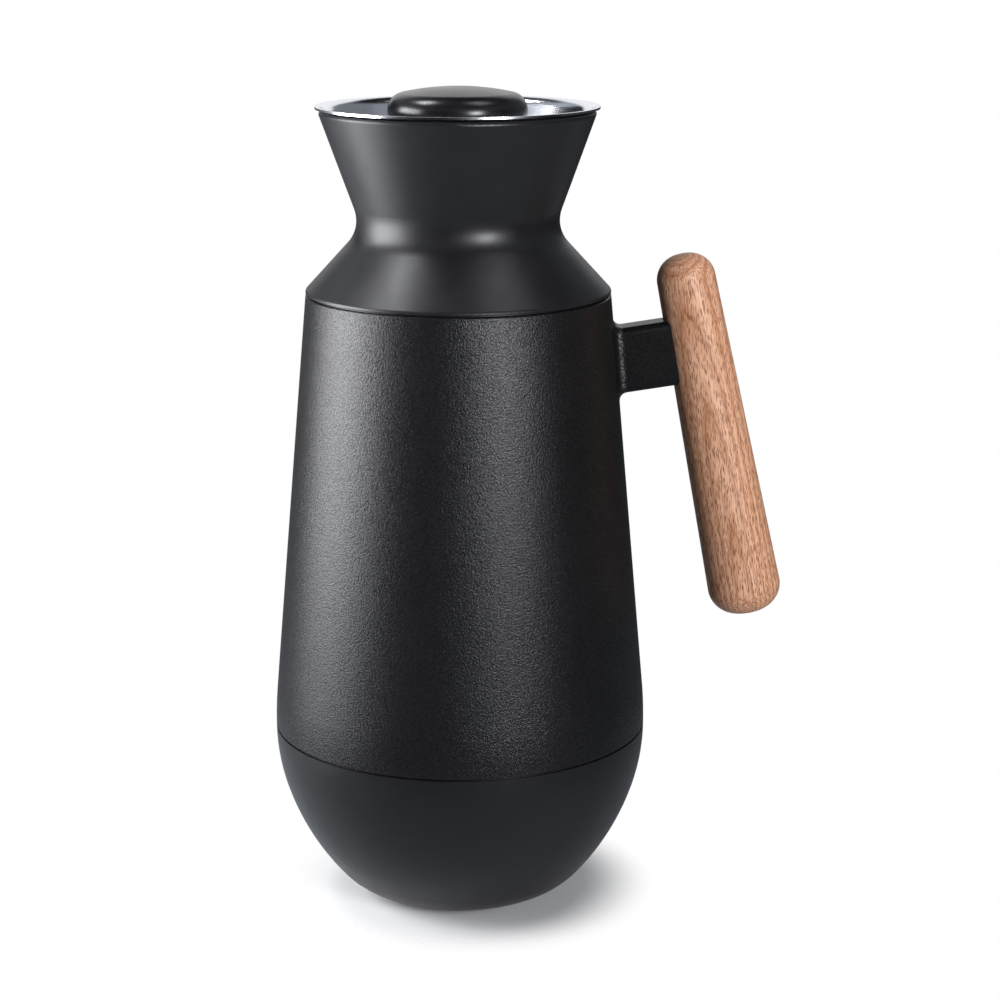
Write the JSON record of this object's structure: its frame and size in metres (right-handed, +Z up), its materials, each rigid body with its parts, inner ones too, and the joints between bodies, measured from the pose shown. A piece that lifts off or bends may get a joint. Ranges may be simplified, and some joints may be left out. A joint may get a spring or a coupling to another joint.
{
  "type": "vacuum jug",
  "caption": "Insulated serving jug: steel vacuum flask in a tapered grained casing with rounded base, waisted pouring collar, wooden bar handle and lift-out stopper with a turning knob.",
  "frame": {"origin": "middle of the foot pad's underside, on the surface that the jug stands on", "axes": "+Z up along the jug's axis, +X towards the handle"},
  "size_m": [0.1856, 0.136, 0.2966],
  "materials": {
    "grained_plastic": "black moulded plastic with a fine leather grain and a soft sheen",
    "smooth_plastic": "smooth black plastic, satin",
    "knob_plastic": "smooth black plastic, satin gloss",
    "stopper_plastic": "black plastic, fine matte",
    "funnel_steel": "satin polished stainless steel",
    "flask_steel": "plain drawn stainless steel",
    "screw_steel": "plain steel",
    "insert_brass": "plain turned brass",
    "beech": "oiled pale beech with fine dark flecks along the grain",
    "silicone": "translucent grey silicone",
    "foot_rubber": "black rubber, matte"
  },
  "bodies": {
    "jug": {"foot_pad": "foot_rubber", "base_bowl": "smooth_plastic", "body_casing": "grained_plastic", "neck_collar": "smooth_plastic", "pouring_funnel": "funnel_steel", "flask_inner": "flask_steel", "flask_inner_base": "flask_steel", "flask_outer": "flask_steel", "flask_base_cap": "flask_steel", "getter_pill": "flask_steel", "mouth_gasket": "silicone", "flask_cushion": "silicone", "handle_grip": "beech", "handle_inserts": "insert_brass", "handle_screws": "screw_steel"},
    "stopper": {"stopper_body": "stopper_plastic", "stopper_gasket": "silicone"},
    "knob": {"valve_rotor": "stopper_plastic", "rotor_seals": "silicone", "rotor_clip": "screw_steel", "knob_cap": "knob_plastic", "knob_base": "stopper_plastic", "knob_screw": "screw_steel"}
  },
  "joints": [
    {"name": "stopper_lift", "type": "slide", "parent": "jug", "child": "stopper", "axis": [0, 0, 1], "range_m": [0, 0.08]},
    {"name": "knob_turn", "type": "hinge", "parent": "stopper", "child": "knob", "pos_m": [0, 0, 0.29], "axis": [0, 0, 1], "range_deg": [0, 90]}
  ]
}
